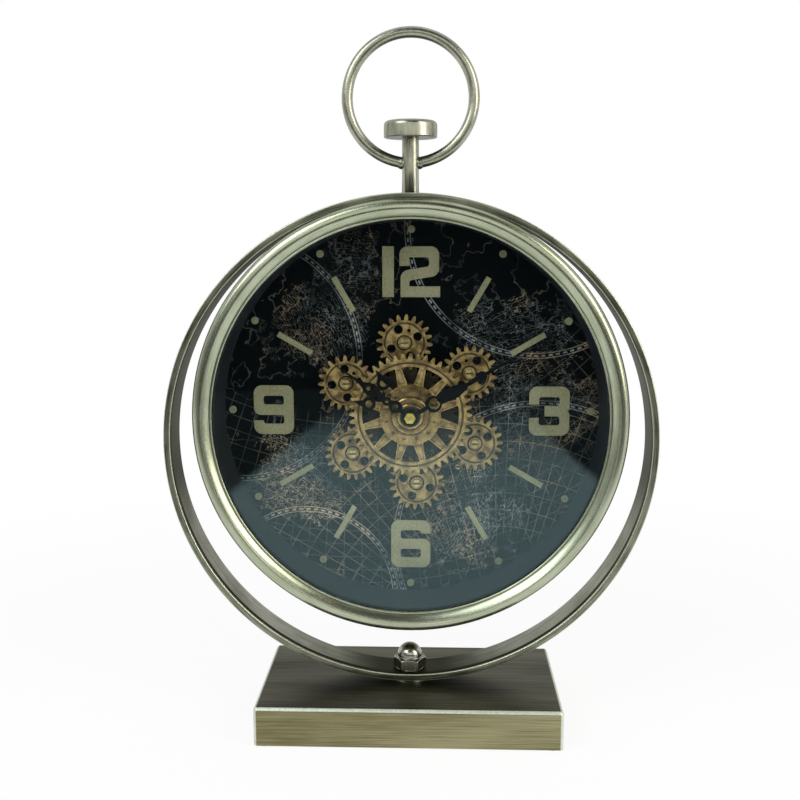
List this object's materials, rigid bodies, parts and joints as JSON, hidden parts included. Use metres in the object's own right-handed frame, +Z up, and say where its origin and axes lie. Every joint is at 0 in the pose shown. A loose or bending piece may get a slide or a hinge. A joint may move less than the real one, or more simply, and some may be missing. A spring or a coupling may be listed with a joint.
{
  "type": "gear display table clock",
  "caption": "Round battery table clock: a glazed drum with an open planetary gear display hangs in a metal hoop on a box base, under a pocket-watch bail.",
  "frame": {"origin": "on the table under the middle of the base", "axes": "the dial faces -Y, +X is to the right as seen from the front, +Z is up"},
  "size_m": [0.24, 0.08, 0.3372],
  "materials": {
    "base_metal": "antique pewter plating, brushed along the base, worn bright on the edges",
    "pad_felt": "pressed felt discs",
    "plated_steel": "antique nickel plating, satin",
    "hoop_metal": "dark olive pewter, satin, worn bright on the front edge",
    "bail_metal": "antique pewter, satin",
    "drum_metal": "antique pewter, satin",
    "bezel_metal": "pale antique nickel, polished",
    "clear_glass": "clear flat glass",
    "black_card": "smooth black",
    "dial_print": "near-black printed sheet with fine pale lines",
    "mark_gold": "pale satin gold",
    "gear_bronze": "antique bronze, dark in the recesses",
    "hub_brass": "satin brass",
    "hand_black": "satin black",
    "moulded_black": "fine moulded texture",
    "train_plastic": "natural moulded plastic",
    "train_brass": "turned brass",
    "motor_steel": "zinc-plated steel",
    "cell_jacket": "plain printed jacket with bare ends"
  },
  "bodies": {
    "case": {"base_shell": "base_metal", "foot_pads": "pad_felt", "base_bolt": "plated_steel", "bolt_washer": "plated_steel", "bolt_spacer": "plated_steel", "dome_washer": "plated_steel", "dome_nut": "plated_steel", "stem_washer": "plated_steel", "stem_nut": "plated_steel", "hanger_pad": "plated_steel", "back_screws": "plated_steel", "hoop": "hoop_metal", "stem": "bail_metal", "crown": "bail_metal", "bail_ring": "bail_metal", "case_drum": "drum_metal", "back_plate": "drum_metal", "front_bezel": "bezel_metal", "glass_lens": "clear_glass", "inner_wall": "black_card", "rear_spacer": "black_card", "dial_plate": "dial_print", "numeral_twelve": "mark_gold", "numeral_three": "mark_gold", "numeral_six": "mark_gold", "numeral_nine": "mark_gold", "hour_batons": "mark_gold", "hour_dots": "mark_gold", "planet_posts": "hub_brass", "movement_screws": "hub_brass", "gear_bridge": "moulded_black", "movement_case": "moulded_black", "movement_cover": "moulded_black", "train_plate": "train_plastic", "centre_bush": "train_brass", "gear_motor": "motor_steel", "stepper_motor": "motor_steel", "battery_contacts": "motor_steel"},
    "display": {"great_wheel": "gear_bronze", "wheel_hub": "hub_brass", "sun_gear": "gear_bronze", "gear_sleeve": "train_plastic"},
    "idler": {"idler_gear": "train_plastic"},
    "gear_motor_rotor": {"motor_pinion": "train_plastic"},
    "minute": {"minute_hand": "hand_black", "minute_arbor": "train_brass", "hand_nut": "hub_brass"},
    "hour": {"hour_hand": "hand_black", "hour_pipe": "train_plastic"},
    "minute_wheel": {"minute_wheel": "train_plastic"},
    "setting": {"setting_knob": "moulded_black"},
    "stepper_rotor": {"stepper_pinion": "train_plastic"},
    "gear_cell": {"gear_cell": "cell_jacket"},
    "clock_cell": {"clock_cell": "cell_jacket"},
    "planet_1": {"planet_gear_1": "gear_bronze"},
    "planet_2": {"planet_gear_2": "gear_bronze"},
    "planet_3": {"planet_gear_3": "gear_bronze"},
    "planet_4": {"planet_gear_4": "gear_bronze"},
    "planet_5": {"planet_gear_5": "gear_bronze"},
    "planet_6": {"planet_gear_6": "gear_bronze"}
  },
  "joints": [
    {"name": "display_turn", "type": "hinge", "parent": "case", "child": "display", "pos_m": [0, 0, 0.1534], "axis": [0, 1, 0], "continuous": true},
    {"name": "planet_1_turn", "type": "hinge", "parent": "case", "child": "planet_1", "pos_m": [-0.0031, 0, 0.18882], "axis": [0, 1, 0], "continuous": true},
    {"name": "planet_2_turn", "type": "hinge", "parent": "case", "child": "planet_2", "pos_m": [0.02913, 0, 0.1738], "axis": [0, 1, 0], "continuous": true},
    {"name": "planet_3_turn", "type": "hinge", "parent": "case", "child": "planet_3", "pos_m": [0.03223, 0, 0.13837], "axis": [0, 1, 0], "continuous": true},
    {"name": "planet_4_turn", "type": "hinge", "parent": "case", "child": "planet_4", "pos_m": [0.0031, 0, 0.11797], "axis": [0, 1, 0], "continuous": true},
    {"name": "planet_5_turn", "type": "hinge", "parent": "case", "child": "planet_5", "pos_m": [-0.02913, 0, 0.133], "axis": [0, 1, 0], "continuous": true},
    {"name": "planet_6_turn", "type": "hinge", "parent": "case", "child": "planet_6", "pos_m": [-0.03223, 0, 0.16843], "axis": [0, 1, 0], "continuous": true},
    {"name": "idler_turn", "type": "hinge", "parent": "case", "child": "idler", "pos_m": [0.014, 0, 0.1534], "axis": [0, 1, 0], "continuous": true},
    {"name": "gear_motor_turn", "type": "hinge", "parent": "case", "child": "gear_motor_rotor", "pos_m": [0.02266, 0, 0.1584], "axis": [0, 1, 0], "continuous": true},
    {"name": "minute_turn", "type": "hinge", "parent": "case", "child": "minute", "pos_m": [0, 0, 0.1534], "axis": [0, 1, 0], "continuous": true},
    {"name": "hour_turn", "type": "hinge", "parent": "case", "child": "hour", "pos_m": [0, 0, 0.1534], "axis": [0, 1, 0], "continuous": true},
    {"name": "minute_wheel_turn", "type": "hinge", "parent": "case", "child": "minute_wheel", "pos_m": [-0.012, 0, 0.1534], "axis": [0, 1, 0], "continuous": true},
    {"name": "setting_turn", "type": "hinge", "parent": "case", "child": "setting", "pos_m": [-0.024, 0, 0.1534], "axis": [0, 1, 0], "continuous": true},
    {"name": "stepper_turn", "type": "hinge", "parent": "case", "child": "stepper_rotor", "pos_m": [0.0118, 0, 0.14514], "axis": [0, 1, 0], "continuous": true},
    {"name": "gear_cell_slide", "type": "slide", "parent": "case", "child": "gear_cell", "axis": [0, 1, 0], "range_m": [0, 0.016]},
    {"name": "clock_cell_slide", "type": "slide", "parent": "case", "child": "clock_cell", "axis": [0, 1, 0], "range_m": [0, 0.016]}
  ],
  "couplings": [
    {"joint": "planet_1_turn", "follows": "display_turn", "ratio": -1.8},
    {"joint": "planet_2_turn", "follows": "display_turn", "ratio": -1.8},
    {"joint": "planet_3_turn", "follows": "display_turn", "ratio": -1.8},
    {"joint": "planet_4_turn", "follows": "display_turn", "ratio": -1.8},
    {"joint": "planet_5_turn", "follows": "display_turn", "ratio": -1.8},
    {"joint": "planet_6_turn", "follows": "display_turn", "ratio": -1.8},
    {"joint": "idler_turn", "follows": "display_turn", "ratio": -6},
    {"joint": "gear_motor_turn", "follows": "display_turn", "ratio": 24},
    {"joint": "hour_turn", "follows": "minute_turn", "ratio": 0.083333},
    {"joint": "minute_wheel_turn", "follows": "minute_turn", "ratio": -0.33333},
    {"joint": "setting_turn", "follows": "minute_turn", "ratio": 1},
    {"joint": "stepper_turn", "follows": "minute_turn", "ratio": -8}
  ]
}
